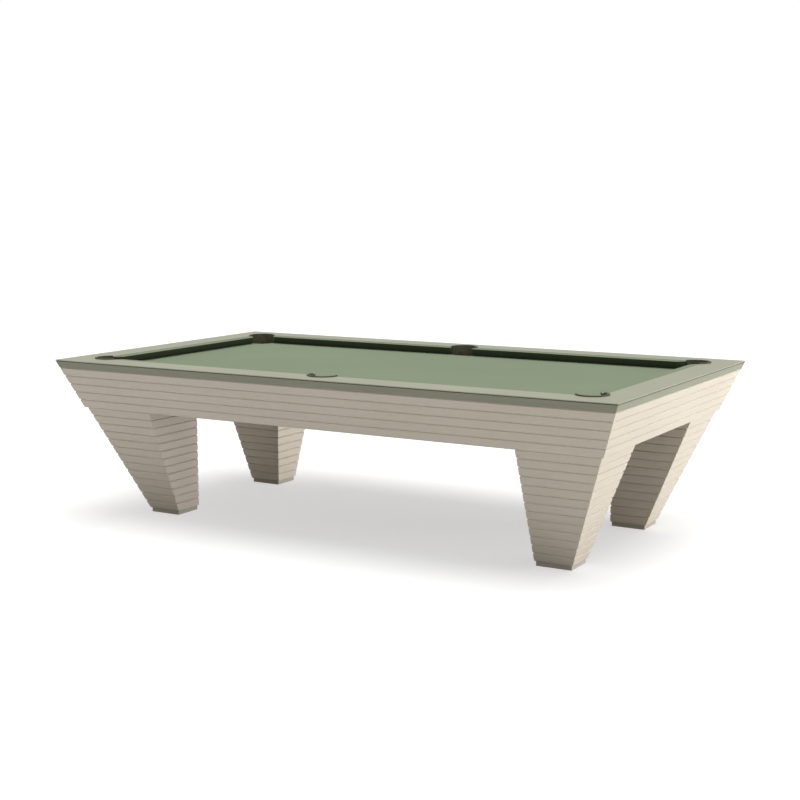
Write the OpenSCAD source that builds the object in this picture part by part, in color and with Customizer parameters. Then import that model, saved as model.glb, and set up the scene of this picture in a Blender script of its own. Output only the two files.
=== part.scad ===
// Slate-bed pool table with slatted, inward-sloping aprons and legs.
// Millimetres. Origin on the floor under the middle of the bed, +X along the length, +Z up.
// Back is +Y, front is -Y, right is +X, left is -X.

/* [Playing area] */
// Length between the noses of the end cushions
play_l = 2540; // [2200:10:3000]
// Width between the noses of the side cushions
play_w = 1270; // [1100:10:1600]
// Width of a cushion, from the rail's wood to the nose
cushion_w = 45; // [40:1:52]
// Height of the nose above the bed
nose_h = 36; // [34:0.5:37]
// How far the foot of a cushion lies back from its nose
cushion_undercut = 25; // [15:1:30]
// Height of the rounded nose
nose_t = 4; // [3:0.5:6]
// Thickness of the cushion cloth
cushion_cloth_t = 1.2; // [0.8:0.1:2]
// Thickness of the bed cloth
bed_cloth_t = 1; // [0.8:0.1:2]

/* [Rails] */
// Width of the rail's flat wooden top
rail_w = 145; // [110:1:180]
// Thickness of the rail board, which is also the rail's height above the bed
rail_t = 40; // [38:1:60]
// Chamfer along the rail's outer edges
rail_ease = 2; // [1:0.5:4]
// Thickness of the rail's edge above the shadow groove
rail_brow = 5; // [4:0.5:8]
// Width of the shadow groove round the rails
groove_w = 2; // [1:0.5:4]
// Depth of the shadow groove
groove_d = 3; // [1:0.5:5]

/* [Body] */
// Inward run of the outside faces for each unit of drop
side_slope = 0.4; // [0.2:0.01:0.42]
// Height of one slat with its gap
slat_pitch = 40; // [32:1:50]
// Gap between two slats
slat_gap = 0.5; // [0.3:0.1:3]
// Bevel along a slat's outer edges
slat_bevel = 4; // [2:0.5:5]
// Thickness of a slat, measured level
slat_d = 20; // [16:1:24]
// Slats in the height of the apron
apron_slats = 5; // [5:1:6]
// Thickness of the board behind the apron slats, measured level
apron_board_t = 15; // [9:1:18]

/* [Legs] */
// Slats in the height of a leg
leg_slats = 13; // [9:1:15]
// Step from the apron's face in to the leg's face
leg_step = 10; // [4:1:16]
// Size of a leg's lowest slat along the table
leg_foot_l = 178; // [170:1:240]
// Size of a leg's lowest slat across the table
leg_foot_w = 161; // [155:1:240]
// Wall of the leg's inner box
leg_wall = 18; // [12:1:20]
// Height of the plinth under a leg
plinth_h = 20; // [18:1:30]
// Step from the lowest slat in to the plinth
plinth_step = 6; // [3:1:12]
// Glue line in a mitre between two boards of a leg slat
mitre_gap = 0.2; // [0.1:0.1:0.4]

/* [Slate bed and frame] */
// Thickness of the slate
slate_t = 28; // [22:1:32]
// How far the slate reaches in under the rails' wood
slate_under = 60; // [50:1:66]
// Joint between two slates
slate_seam = 0.4; // [0.2:0.1:1]
// Thickness of a long beam and of an end crossbar
beam_t = 45; // [36:1:60]
// Thickness of the crossbar under a slate joint
seam_bar_t = 70; // [60:1:100]
// Height of a crossbar
crossbar_h = 150; // [100:1:160]

/* [Pockets] */
// Inner radius of a pocket
pocket_r = 60; // [56:0.5:62]
// Wall of the pocket liner
liner_wall = 5; // [4:0.5:7]
// Width of the liner's lip beyond its wall
lip_w = 7; // [3:0.5:9]
// Height of the lip above the rail top
lip_h = 5; // [3:0.5:8]
// Distance between the cushion noses at a corner pocket
corner_mouth = 125; // [120:1:130]
// Distance between the cushion noses at a side pocket
side_mouth = 130; // [126:1:136]
// Angle that a corner facing turns in from the pocket's middle line
corner_facing = 7; // [5:0.5:9]
// Angle that a side facing turns in from the pocket's middle line
side_facing = 14; // [10:0.5:16]
// Setback of a corner pocket's centre from both nose lines
corner_set = 4; // [2:1:12]
// Setback of a side pocket's centre from the nose line
side_set = 41; // [38:1:50]
// How far the slate shelf reaches past the nose line at a side pocket
side_shelf = 2; // [0:0.5:6]
// How far the liner reaches below the slate
liner_drop = 12; // [8:1:20]
// Wall of the leather basket
basket_wall = 3; // [2:0.5:4]
// Depth of the basket below the slate
basket_h = 71; // [60:1:76]
// Outer radius of the basket's floor
basket_floor_r = 48; // [42:1:50]

/* [Levellers] */
// Radius of the pad on the floor
pad_r = 40; // [30:1:44]
// Thickness of the pad's disc
pad_t = 6; // [4:0.5:8]
// Gap between the wound-in pad and the floor
pad_lift = 0.5; // [0.2:0.1:1]
// Radius of the levelling stud
stud_r = 8; // [6:0.5:10]
// Length of the stud above its collar
stud_l = 95; // [60:1:120]
// How deep the stud's tip sits in the pad
tip_depth = 6; // [4:0.5:8]
// Distance across the flats of the stud's collar
collar_af = 24; // [20:1:30]

/* [Fasteners] */
// Radius of a rail bolt
rail_bolt_r = 5; // [4:0.5:6]
// Rail bolts in each cushion's length
rail_bolts_each = 3; // [2:1:4]
// Distance of the rail bolts from the inner edge of the rail's wood
rail_bolt_in = 28; // [22:1:40]
// Distance along a rail from a pocket's centre to the nearest bolt
rail_bolt_end = 280; // [200:5:300]
// How far a rail bolt reaches up into the rail
rail_bolt_grip = 30; // [20:1:34]
// Radius of a leg bolt
leg_bolt_r = 6; // [5:0.5:8]
// Distance from a leg's inner face to its first bolt
leg_bolt_first = 60; // [50:1:70]
// Distance between a leg's two bolts
leg_bolt_step = 120; // [80:1:140]
// How far a leg bolt reaches up into the beam
leg_bolt_grip = 60; // [40:1:80]

/* [Hidden] */
$fn = 96;
fit = 0.3;                 // clearance between pieces that are slid together by hand
thread_gap = 0.1;          // radial clearance of a screw in its thread
eps = 1;                   // overrun of a cut
// derived heights
apron_z = plinth_h + leg_slats * slat_pitch;
bed_z = apron_z + apron_slats * slat_pitch;
top_z = bed_z + rail_t;
slate_top = bed_z - bed_cloth_t;
slate_bottom = slate_top - slate_t;
// derived plan sizes, all measured from the middle of the bed
nose_x = play_l / 2;
nose_y = play_w / 2;
cushion_drop = 1;          // step from the rail top down to the cushion cloth
wood_x = nose_x + cushion_w;
wood_y = nose_y + cushion_w;
half_l = wood_x + rail_w;
half_w = wood_y + rail_w;
mitre = half_l - half_w;
slate_x = wood_x + slate_under;
slate_y = wood_y + slate_under;
seam_x = slate_x / 3;
// pockets
liner_r = pocket_r + liner_wall;
lip_r = liner_r + lip_w;
corner_x = nose_x + corner_set;
corner_y = nose_y + corner_set;
side_y = nose_y + side_set;
basket_r = liner_r + fit + basket_wall;
basket_top_gap = 2;        // room between the basket's rim and the slate
basket_z = slate_bottom - basket_top_gap;
basket_floor_z = slate_bottom - basket_h;
// frame
basket_gap = 15;
beam_y = side_y - basket_r - basket_gap;
beam_x = corner_x - basket_r - basket_gap;
// legs
leg_in_x = face_x(plinth_h) - leg_step - leg_foot_l;
leg_in_y = face_y(plinth_h) - leg_step - leg_foot_w;
foot_x = leg_in_x + leg_foot_l / 2;
foot_y = leg_in_y + leg_foot_w / 2;
// levellers
recess_r = pad_r + 2;
web = 4;                   // plinth left above the recess
recess_h = plinth_h - web;
boss_r = stud_r + 12;
boss_h = 25;
hub_r = stud_r + 6;
hub_h = 4;                 // hub above the pad's disc
tip_r = stud_r - 2;
collar_gap = 0.2;          // collar above the hub
collar_z = pad_lift + pad_t + hub_h + collar_gap;
web_gap = 0.5;             // collar below the web when wound in
collar_h = recess_h - web_gap - collar_z;
tip_h = tip_depth;         // stud below its collar
socket_h = tip_h - collar_gap + fit;
key_af = stud_r;
key_depth = stud_r;
// bolts
rail_bolt_y = wood_y + rail_bolt_in;
rail_bolt_x = wood_x + rail_bolt_in;
rail_bolt_play = 2;        // radial room in the slate for lining the rails up
rail_head_r = rail_bolt_r * 1.8;
rail_head_h = rail_bolt_r * 1.2;
leg_head_af = leg_bolt_r * 3.2;
leg_head_h = leg_bolt_r * 1.3;
// colours
ivory = "#d8d2c4";
sage_grey = "#b0b4a0";
cloth_green = "#8a987d";
warm_grey = "#c6bdae";
leather_brown = "#3e3932";
birch = "#c9a877";
pine = "#d3b483";
slate_grey = "#50555a";
rubber_black = "#252525";
steel = "#9a9da0";

// ---- outside faces -------------------------------------------------------------------

// Half length and half width of the sloping outside at height z
function face_x(z) = half_l - side_slope * (top_z - z);
function face_y(z) = half_w - side_slope * (top_z - z);

// ---- placing -------------------------------------------------------------------------

// Puts children made for the back right quarter into the quarter with signs sx and sy
module quarter(sx, sy) {
    mirror([sx < 0 ? 1 : 0, 0, 0]) mirror([0, sy < 0 ? 1 : 0, 0]) children();
}

// Turns a profile drawn as (y, z) into a bar along X of half length l
module along_x(l) {
    rotate([90, 0, 90]) translate([0, 0, -l]) linear_extrude(2 * l) children();
}

// Turns a profile drawn as (x, z) into a bar along Y of half length l
module along_y(l) {
    rotate([90, 0, 0]) translate([0, 0, -l]) linear_extrude(2 * l) children();
}

// Everything on the back side of the corner mitres
module back_wedge() {
    reach = half_w + eps;
    linear_extrude(top_z + eps)
        polygon([[-mitre, 0], [mitre, 0], [mitre + reach, reach], [-mitre - reach, reach]]);
}

// Everything on the right side of the corner mitres
module right_wedge() {
    reach = half_w + eps;
    linear_extrude(top_z + eps)
        polygon([[mitre, 0], [mitre + reach, -reach], [mitre + reach, reach]]);
}

// Puts children made for a pocket whose middle line runs along +X at the back right corner
module at_corner_pocket() {
    translate([corner_x, corner_y, 0]) rotate(45) children();
}

// The same for the back middle pocket
module at_side_pocket() {
    translate([0, side_y, 0]) rotate(90) children();
}

// ---- pocket outlines, drawn with the pocket's centre at 0 and its middle line along +X -

// Where the mouth begins, behind the pocket's centre
corner_mouth_x = -corner_mouth / 2 - corner_set * sqrt(2);
side_mouth_x = -side_set;

// Half width of the throat at x, for a mouth at x0 with half width h and facing angle a
function throat(x, x0, h, a) = h - (x - x0) * tan(a);

// Where the facing line meets the circle of the pocket's inner radius
function liner_end(x0, h, a) =
    let (t = tan(a), b = h + x0 * t)
    (b * t - sqrt(b * b * t * t - (1 + t * t) * (b * b - pocket_r * pocket_r))) / (1 + t * t);

corner_end = liner_end(corner_mouth_x, corner_mouth / 2, corner_facing);
side_end = liner_end(side_mouth_x, side_mouth / 2, side_facing);

// Disc of radius r without what lies in front of x = from
module cut_disc(r, from) {
    intersection() {
        circle(r);
        translate([from, -2 * r]) square([4 * r, 4 * r]);
    }
}

// Open mouth between two facings
module mouth(x0, h, a, end) {
    last = throat(end + eps, x0, h, a);
    polygon([[x0, -h], [end + eps, -last], [end + eps, last], [x0, h]]);
}

// Full plan of the hole that the rails and the bed leave around a pocket
module corner_hole() {
    cut_disc(liner_r + fit, corner_end - fit);
    mouth(corner_mouth_x, corner_mouth / 2, corner_facing, corner_end);
}

module side_hole() {
    cut_disc(liner_r + fit, side_end - fit);
    mouth(side_mouth_x, side_mouth / 2, side_facing, side_end);
}

// Holes for the six pockets in the rails
module rail_holes() {
    for (sx = [-1, 1], sy = [-1, 1]) quarter(sx, sy) at_corner_pocket()
        linear_extrude(top_z + eps) corner_hole();
    for (sy = [-1, 1]) quarter(1, sy) at_side_pocket()
        linear_extrude(top_z + eps) side_hole();
}

// Space that the six liners and their fit take out of the cushions
module liner_space() {
    for (sx = [-1, 1], sy = [-1, 1]) quarter(sx, sy) at_corner_pocket()
        linear_extrude(top_z + eps) cut_disc(liner_r + fit, corner_end - fit);
    for (sy = [-1, 1]) quarter(1, sy) at_side_pocket()
        linear_extrude(top_z + eps) cut_disc(liner_r + fit, side_end - fit);
}

// Holes for the six pockets in the slate and its cloth; the side ones are open to the edge
module bed_holes() {
    for (sx = [-1, 1], sy = [-1, 1]) quarter(sx, sy) at_corner_pocket()
        linear_extrude(top_z + eps) {
            circle(pocket_r);
            cut_disc(liner_r + fit, corner_end - fit);
        }
    for (sy = [-1, 1]) quarter(1, sy) at_side_pocket()
        linear_extrude(top_z + eps) {
            cut_disc(pocket_r, side_shelf - side_set);
            cut_disc(liner_r + fit, side_end - fit);
            translate([0, -liner_r - fit]) square(2 * (liner_r + fit));
        }
}

// ---- rails ---------------------------------------------------------------------------

// Section of a rail from its inner face at w; its outside is at low underneath and at high on top
function rail_section(w, low, high) =
    let (
        brow_z = top_z - rail_brow,
        brow = high - side_slope * rail_brow,
        under = brow - side_slope * groove_w
    )
    [
        [w, bed_z],
        [low - rail_ease, bed_z],
        [low + side_slope * rail_ease, bed_z + rail_ease],
        [under, brow_z - groove_w],
        [under - groove_d, brow_z - groove_w],
        [brow - groove_d, brow_z],
        [brow, brow_z],
        [high - side_slope * rail_ease, top_z - rail_ease],
        [high - rail_ease, top_z],
        [w, top_z]
    ];

module back_rail() {
    color(sage_grey) difference() {
        intersection() {
            along_x(half_l) polygon(rail_section(wood_y, face_y(bed_z), half_w));
            back_wedge();
        }
        rail_holes();
        rail_bolt_places() bolt_hole(rail_bolt_r + thread_gap, rail_bolt_grip + eps);
    }
}

module right_rail() {
    color(sage_grey) difference() {
        intersection() {
            along_y(half_w) polygon(rail_section(wood_x, face_x(bed_z), half_l));
            right_wedge();
        }
        rail_holes();
        rail_bolt_places() bolt_hole(rail_bolt_r + thread_gap, rail_bolt_grip + eps);
    }
}

module rail_front() { quarter(1, -1) back_rail(); }
module rail_back() { back_rail(); }
module rail_left() { quarter(-1, 1) right_rail(); }
module rail_right() { right_rail(); }

// ---- cushions ------------------------------------------------------------------------

// Section of a cushion from the nose at n back to the wood at w, shrunk by e on all but its back
function cushion_section(n, w, e) =
    let (half = nose_t / 2, top = bed_z + rail_t - cushion_drop)
    [
        [w, bed_z + e],
        [n + cushion_undercut + e / 2, bed_z + e],
        [n + half * 0.8 + e, bed_z + nose_h - half],
        [n + e, bed_z + nose_h],
        [n + half + e, bed_z + nose_h + half - e],
        [w, top - e]
    ];

// Plan of the back right cushion, shrunk by e at both facings
module long_cushion_plan(e) {
    first = side_mouth / 2 + e;
    last = nose_x - corner_mouth / sqrt(2) - e;
    polygon([
        [first, nose_y],
        [last, nose_y],
        [last + cushion_w / tan(45 - corner_facing), wood_y],
        [first - cushion_w * tan(side_facing), wood_y]
    ]);
}

// Plan of the right cushion, shrunk by e at both facings
module end_cushion_plan(e) {
    last = nose_y - corner_mouth / sqrt(2) - e;
    back = last + cushion_w / tan(45 - corner_facing);
    polygon([[nose_x, -last], [wood_x, -back], [wood_x, back], [nose_x, last]]);
}

module long_cushion_solid(e) {
    difference() {
        intersection() {
            along_x(half_l) polygon(cushion_section(nose_y, wood_y, e));
            linear_extrude(top_z) long_cushion_plan(e);
        }
        liner_space();
    }
}

module end_cushion_solid(e) {
    difference() {
        intersection() {
            along_y(half_w) polygon(cushion_section(nose_x, wood_x, e));
            linear_extrude(top_z) end_cushion_plan(e);
        }
        liner_space();
    }
}

module long_cushion() {
    color(cloth_green) difference() {
        long_cushion_solid(0);
        long_cushion_solid(cushion_cloth_t);
    }
}

module end_cushion() {
    color(cloth_green) difference() {
        end_cushion_solid(0);
        end_cushion_solid(cushion_cloth_t);
    }
}

module cushion_front_left() { quarter(-1, -1) long_cushion(); }
module cushion_front_right() { quarter(1, -1) long_cushion(); }
module cushion_back_left() { quarter(-1, 1) long_cushion(); }
module cushion_back_right() { quarter(1, 1) long_cushion(); }
module cushion_left() { quarter(-1, 1) end_cushion(); }
module cushion_right() { end_cushion(); }

module cushion_rubbers() {
    color(rubber_black) {
        for (sx = [-1, 1], sy = [-1, 1]) quarter(sx, sy) long_cushion_solid(cushion_cloth_t);
        for (sx = [-1, 1]) quarter(sx, 1) end_cushion_solid(cushion_cloth_t);
    }
}

// ---- bed -----------------------------------------------------------------------------

module bed_cloth() {
    color(cloth_green) difference() {
        translate([-slate_x, -slate_y, slate_top]) cube([2 * slate_x, 2 * slate_y, bed_cloth_t]);
        bed_holes();
        rail_bolt_places() bolt_hole(rail_bolt_r + rail_bolt_play, rail_bolt_grip);
    }
}

// One slate from x = from to x = to
module slate_piece(from, to) {
    color(slate_grey) difference() {
        translate([from, -slate_y, slate_bottom]) cube([to - from, 2 * slate_y, slate_t]);
        bed_holes();
        rail_bolt_places() bolt_hole(rail_bolt_r + rail_bolt_play, rail_bolt_grip);
    }
}

module slate_left() { slate_piece(-slate_x, -seam_x - slate_seam / 2); }
module slate_middle() { slate_piece(-seam_x + slate_seam / 2, seam_x - slate_seam / 2); }
module slate_right() { slate_piece(seam_x + slate_seam / 2, slate_x); }

// ---- pockets -------------------------------------------------------------------------

// C-shaped liner that ends at x = end, with a lip on the rail top
module liner(end) {
    color(leather_brown) intersection() {
        difference() {
            union() {
                translate([0, 0, slate_bottom - liner_drop])
                    cylinder(h = top_z + lip_h - slate_bottom + liner_drop, r = liner_r);
                translate([0, 0, top_z]) cylinder(h = lip_h, r = lip_r);
            }
            cylinder(h = top_z + lip_h + eps, r = pocket_r);
        }
        translate([end, -lip_r, 0]) cube([2 * lip_r, 2 * lip_r, top_z + lip_h + eps]);
    }
}

// Leather cup that hangs around the liner's foot
module basket() {
    color(leather_brown) rotate_extrude() polygon([
        [0, basket_floor_z],
        [basket_floor_r, basket_floor_z],
        [basket_r, basket_z - liner_drop],
        [basket_r, basket_z],
        [basket_r - basket_wall, basket_z],
        [basket_r - basket_wall, basket_z - liner_drop],
        [basket_floor_r - basket_wall, basket_floor_z + basket_wall],
        [0, basket_floor_z + basket_wall]
    ]);
}

module corner_liner() { at_corner_pocket() liner(corner_end); }
module side_liner() { at_side_pocket() liner(side_end); }

module pocket_liner_front_left() { quarter(-1, -1) corner_liner(); }
module pocket_liner_front_middle() { quarter(1, -1) side_liner(); }
module pocket_liner_front_right() { quarter(1, -1) corner_liner(); }
module pocket_liner_back_left() { quarter(-1, 1) corner_liner(); }
module pocket_liner_back_middle() { side_liner(); }
module pocket_liner_back_right() { corner_liner(); }

module pocket_basket_front_left() { quarter(-1, -1) at_corner_pocket() basket(); }
module pocket_basket_front_middle() { quarter(1, -1) at_side_pocket() basket(); }
module pocket_basket_front_right() { quarter(1, -1) at_corner_pocket() basket(); }
module pocket_basket_back_left() { quarter(-1, 1) at_corner_pocket() basket(); }
module pocket_basket_back_middle() { at_side_pocket() basket(); }
module pocket_basket_back_right() { at_corner_pocket() basket(); }

// ---- apron ---------------------------------------------------------------------------

// Section of apron slat number i, where outer(z) is written as high - slope * (top_z - z)
function apron_slat_section(i, high) =
    let (
        low_z = apron_z + i * slat_pitch + slat_gap / 2,
        high_z = low_z + slat_pitch - slat_gap,
        low = high - side_slope * (top_z - low_z),
        up = high - side_slope * (top_z - high_z),
        run = side_slope * slat_bevel
    )
    [
        [low - slat_bevel, low_z],
        [low + run, low_z + slat_bevel],
        [up - run, high_z - slat_bevel],
        [up - slat_bevel, high_z],
        [up - slat_d, high_z],
        [low - slat_d, low_z]
    ];

// Section of the board behind the slats
function apron_board_section(high) =
    let (
        low = high - side_slope * (top_z - apron_z) - slat_d,
        up = high - side_slope * (top_z - bed_z) - slat_d
    )
    [[low, apron_z], [up, bed_z], [up - apron_board_t, bed_z], [low - apron_board_t, apron_z]];

module back_apron_slats() {
    color(ivory) intersection() {
        along_x(half_l) for (i = [0:apron_slats - 1]) polygon(apron_slat_section(i, half_w));
        back_wedge();
    }
}

module right_apron_slats() {
    color(ivory) intersection() {
        along_y(half_w) for (i = [0:apron_slats - 1]) polygon(apron_slat_section(i, half_l));
        right_wedge();
    }
}

module back_apron_board() {
    color(birch) intersection() {
        along_x(half_l) polygon(apron_board_section(half_w));
        back_wedge();
    }
}

module right_apron_board() {
    color(birch) intersection() {
        along_y(half_w) polygon(apron_board_section(half_l));
        right_wedge();
    }
}

module apron_slats_front() { quarter(1, -1) back_apron_slats(); }
module apron_slats_back() { back_apron_slats(); }
module apron_slats_left() { quarter(-1, 1) right_apron_slats(); }
module apron_slats_right() { right_apron_slats(); }
module apron_board_front() { quarter(1, -1) back_apron_board(); }
module apron_board_back() { back_apron_board(); }
module apron_board_left() { quarter(-1, 1) right_apron_board(); }
module apron_board_right() { right_apron_board(); }

// ---- frame ---------------------------------------------------------------------------

module back_beam() {
    color(pine) difference() {
        translate([-beam_x, beam_y - beam_t, apron_z])
            cube([2 * beam_x, beam_t, slate_bottom - apron_z]);
        for (sx = [-1, 1]) quarter(sx, 1) leg_bolt_places()
            translate([0, 0, apron_z - eps])
                cylinder(h = leg_bolt_grip + 2 * eps, r = leg_bolt_r + thread_gap);
    }
}

module frame_beam_front() { quarter(1, -1) back_beam(); }
module frame_beam_back() { back_beam(); }

// One crossbar of thickness t whose middle is at x
module crossbar(x, t) {
    span = beam_y - beam_t;
    translate([x - t / 2, -span, slate_bottom - crossbar_h]) cube([t, 2 * span, crossbar_h]);
}

module frame_crossbars() {
    color(pine) for (sx = [-1, 1]) {
        crossbar(sx * (beam_x - beam_t / 2), beam_t);
        crossbar(sx * seam_x, seam_bar_t);
    }
}

// ---- legs, made for the back right corner ---------------------------------------------

// Section of a leg between two heights, inset by d, with bevels b, from its inner face at p
function leg_section(p, high, d, b, low_z, high_z) =
    let (
        low = high - leg_step - side_slope * (top_z - low_z) - d,
        up = high - leg_step - side_slope * (top_z - high_z) - d,
        run = side_slope * b
    )
    [
        [p + d + b, low_z],
        [p + d, low_z + b],
        [p + d, high_z - b],
        [p + d + b, high_z],
        [up - b, high_z],
        [up - run, high_z - b],
        [low + run, low_z + b],
        [low - b, low_z]
    ];

// The leg's own outline inset by d between two heights
module leg_block(d, b, low_z, high_z) {
    intersection() {
        along_y(half_w) polygon(leg_section(leg_in_x, half_l, d, b, low_z, high_z));
        along_x(half_l) polygon(leg_section(leg_in_y, half_w, d, b, low_z, high_z));
        cube([half_l, half_w, top_z]);
    }
}

// Outside of a leg at floor level, where it would be if its slope ran on
leg_out_x = face_x(0) - leg_step;
leg_out_y = face_y(0) - leg_step;

// Everything where x - y is between low and high
module between_diagonals(low, high) {
    reach = half_l + half_w;
    linear_extrude(top_z) polygon([
        [low, 0], [high, 0], [high + reach, reach], [low + reach, reach]
    ]);
}

// Everything outside a mitre that leans with the leg; at floor level its x + y is c
module beyond_mitre(c) {
    reach = half_l + half_w;
    rotate(-45) along_x(reach) polygon([
        [c / sqrt(2), 0],
        [(c + side_slope * top_z) / sqrt(2), top_z],
        [reach, top_z],
        [reach, 0]
    ]);
}

// Mitred frames of four boards each, one above the other, around the core
module leg_slat_stack() {
    half = mitre_gap / sqrt(2);
    inner = leg_in_x - leg_in_y;
    right = leg_out_x + leg_in_y;
    back = leg_in_x + leg_out_y;
    color(ivory) {
        intersection() {
            leg_frames();
            between_diagonals(mitre + half, half_l);
            beyond_mitre(right + half);
        }
        difference() {
            intersection() {
                leg_frames();
                between_diagonals(inner + half, half_l);
            }
            beyond_mitre(right - half);
        }
        difference() {
            intersection() {
                leg_frames();
                between_diagonals(0, inner - half);
            }
            beyond_mitre(back - half);
        }
        intersection() {
            leg_frames();
            between_diagonals(0, mitre - half);
            beyond_mitre(back + half);
        }
    }
}

// The frames in one piece each, before they are cut into boards
module leg_frames() {
    difference() {
        for (i = [0:leg_slats - 1])
            leg_block(0, slat_bevel,
                plinth_h + i * slat_pitch + slat_gap / 2,
                plinth_h + (i + 1) * slat_pitch - slat_gap / 2);
        leg_block(slat_d, 0, plinth_h - eps, apron_z + eps);
    }
}

// Box that carries the slats: four walls and a top
module leg_core() {
    color(birch) difference() {
        leg_block(slat_d, 0, plinth_h, apron_z);
        leg_block(slat_d + leg_wall, 0, plinth_h - eps, apron_z - leg_wall);
        leg_bolt_places() translate([0, 0, apron_z - leg_wall - eps])
            cylinder(h = leg_wall + 2 * eps, r = leg_bolt_r + fit);
    }
}

// Base block with a recess for the pad and a threaded boss for the stud
module plinth() {
    low_x = leg_in_x + plinth_step;
    low_y = leg_in_y + plinth_step;
    color(warm_grey) difference() {
        union() {
            translate([low_x, low_y, 0])
                cube([leg_foot_l - 2 * plinth_step, leg_foot_w - 2 * plinth_step, plinth_h]);
            translate([foot_x, foot_y, 0]) cylinder(h = plinth_h + boss_h, r = boss_r);
        }
        translate([foot_x, foot_y, -eps]) cylinder(h = recess_h + eps, r = recess_r);
        translate([foot_x, foot_y, 0])
            cylinder(h = plinth_h + boss_h + eps, r = stud_r + thread_gap);
    }
}

// Pad that stays still on the floor while the stud turns in its hub
module leveller_pad() {
    color(rubber_black) translate([foot_x, foot_y, pad_lift]) difference() {
        union() {
            cylinder(h = pad_t, r = pad_r);
            cylinder(h = pad_t + hub_h, r = hub_r);
        }
        translate([0, 0, pad_t + hub_h - socket_h])
            cylinder(h = socket_h + eps, r = tip_r + thread_gap);
    }
}

// Levelling stud: round tip, six-sided collar, threaded shank and a socket for a key
module leveller_stud() {
    color(steel) translate([foot_x, foot_y, collar_z]) difference() {
        union() {
            translate([0, 0, -tip_h]) cylinder(h = tip_h, r = tip_r);
            cylinder(h = collar_h, r = collar_af / sqrt(3), $fn = 6);
            cylinder(h = collar_h + stud_l, r = stud_r);
        }
        translate([0, 0, collar_h + stud_l - key_depth])
            cylinder(h = key_depth + eps, r = key_af / sqrt(3), $fn = 6);
    }
}

module leg_core_front_left() { quarter(-1, -1) leg_core(); }
module leg_core_front_right() { quarter(1, -1) leg_core(); }
module leg_core_back_left() { quarter(-1, 1) leg_core(); }
module leg_core_back_right() { leg_core(); }
module leg_slats_front_left() { quarter(-1, -1) leg_slat_stack(); }
module leg_slats_front_right() { quarter(1, -1) leg_slat_stack(); }
module leg_slats_back_left() { quarter(-1, 1) leg_slat_stack(); }
module leg_slats_back_right() { leg_slat_stack(); }
module plinth_front_left() { quarter(-1, -1) plinth(); }
module plinth_front_right() { quarter(1, -1) plinth(); }
module plinth_back_left() { quarter(-1, 1) plinth(); }
module plinth_back_right() { plinth(); }
module leveller_pad_front_left() { quarter(-1, -1) leveller_pad(); }
module leveller_pad_front_right() { quarter(1, -1) leveller_pad(); }
module leveller_pad_back_left() { quarter(-1, 1) leveller_pad(); }
module leveller_pad_back_right() { leveller_pad(); }
module leveller_stud_front_left() { quarter(-1, -1) leveller_stud(); }
module leveller_stud_front_right() { quarter(1, -1) leveller_stud(); }
module leveller_stud_back_left() { quarter(-1, 1) leveller_stud(); }
module leveller_stud_back_right() { leveller_stud(); }

// ---- fasteners -----------------------------------------------------------------------

// Places of the bolts that hold the rails down
module rail_bolt_places() {
    last_x = corner_x - rail_bolt_end;
    last_y = corner_y - rail_bolt_end;
    gaps = rail_bolts_each - 1;
    step_x = (last_x - rail_bolt_end) / gaps;
    step_y = 2 * last_y / gaps;
    for (sx = [-1, 1], sy = [-1, 1], i = [0:gaps])
        translate([sx * (rail_bolt_end + i * step_x), sy * rail_bolt_y, 0]) children();
    for (sx = [-1, 1], i = [0:gaps])
        translate([sx * rail_bolt_x, i * step_y - last_y, 0]) children();
}

// Round hole of radius r from below the slate up to h above the bed
module bolt_hole(r, h) {
    translate([0, 0, slate_bottom - eps]) cylinder(h = bed_z + h - slate_bottom + eps, r = r);
}

module rail_bolts() {
    color(steel) rail_bolt_places() {
        translate([0, 0, slate_bottom - rail_head_h]) cylinder(h = rail_head_h, r = rail_head_r);
        translate([0, 0, slate_bottom])
            cylinder(h = bed_z + rail_bolt_grip - slate_bottom, r = rail_bolt_r);
    }
}

// Places of the two bolts between a leg and its beam, for the back right leg
module leg_bolt_places() {
    for (i = [0:1])
        translate([leg_in_x + leg_bolt_first + i * leg_bolt_step, beam_y - beam_t / 2, 0]) children();
}

module leg_bolts() {
    under = apron_z - leg_wall;
    color(steel) for (sx = [-1, 1], sy = [-1, 1]) quarter(sx, sy) leg_bolt_places() {
        translate([0, 0, under - leg_head_h])
            cylinder(h = leg_head_h, r = leg_head_af / sqrt(3), $fn = 6);
        translate([0, 0, under]) cylinder(h = leg_wall + leg_bolt_grip, r = leg_bolt_r);
    }
}

// ---- nodes ---------------------------------------------------------------------------

rail_front();
rail_back();
rail_left();
rail_right();
cushion_front_left();
cushion_front_right();
cushion_back_left();
cushion_back_right();
cushion_left();
cushion_right();
cushion_rubbers();
bed_cloth();
slate_left();
slate_middle();
slate_right();
pocket_liner_front_left();
pocket_liner_front_middle();
pocket_liner_front_right();
pocket_liner_back_left();
pocket_liner_back_middle();
pocket_liner_back_right();
pocket_basket_front_left();
pocket_basket_front_middle();
pocket_basket_front_right();
pocket_basket_back_left();
pocket_basket_back_middle();
pocket_basket_back_right();
apron_slats_front();
apron_slats_back();
apron_slats_left();
apron_slats_right();
apron_board_front();
apron_board_back();
apron_board_left();
apron_board_right();
frame_beam_front();
frame_beam_back();
frame_crossbars();
leg_core_front_left();
leg_core_front_right();
leg_core_back_left();
leg_core_back_right();
leg_slats_front_left();
leg_slats_front_right();
leg_slats_back_left();
leg_slats_back_right();
plinth_front_left();
plinth_front_right();
plinth_back_left();
plinth_back_right();
leveller_pad_front_left();
leveller_pad_front_right();
leveller_pad_back_left();
leveller_pad_back_right();
leveller_stud_front_left();
leveller_stud_front_right();
leveller_stud_back_left();
leveller_stud_back_right();
rail_bolts();
leg_bolts();
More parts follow.
